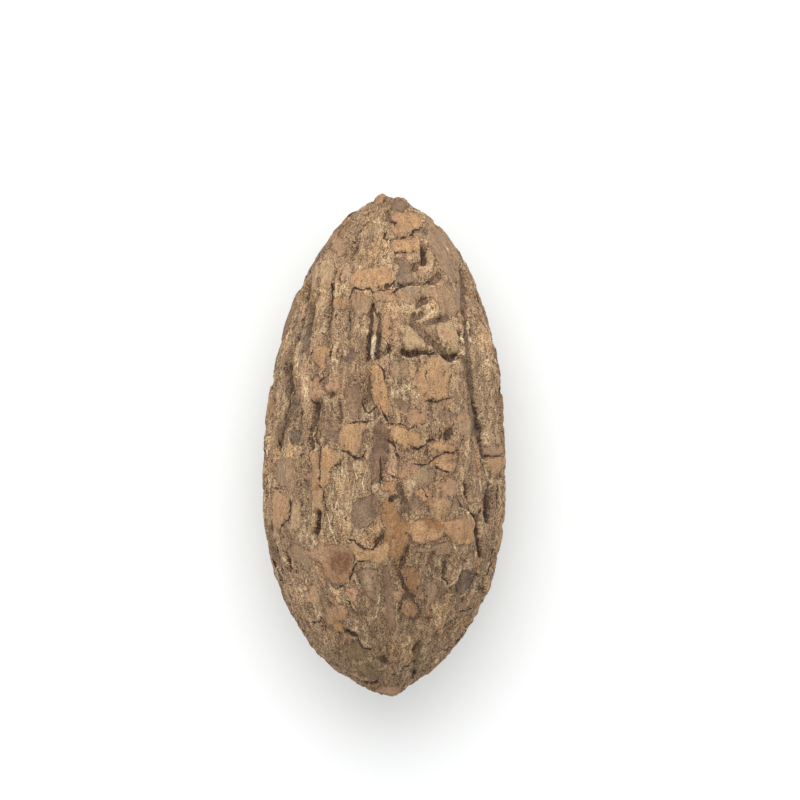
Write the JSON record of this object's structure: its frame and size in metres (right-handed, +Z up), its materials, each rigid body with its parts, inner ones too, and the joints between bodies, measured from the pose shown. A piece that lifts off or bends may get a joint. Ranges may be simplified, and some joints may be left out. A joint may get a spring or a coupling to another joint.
{
  "type": "bodhi seed",
  "caption": "Elongated woody palm seed with a rough, fibrous, bark-like skin of grooves, pits and smoother raised plates, lying on its side.",
  "frame": {"origin": "on the surface that the seed lies on, at the middle of its length and width", "axes": "+Y along the seed's length towards its narrower tip, +X across it, +Z up from the surface"},
  "size_m": [0.0242, 0.0498, 0.0229],
  "materials": {
    "seed_coat": "dry matte woody skin"
  },
  "bodies": {
    "root": {"seed": "seed_coat"}
  },
  "joints": []
}
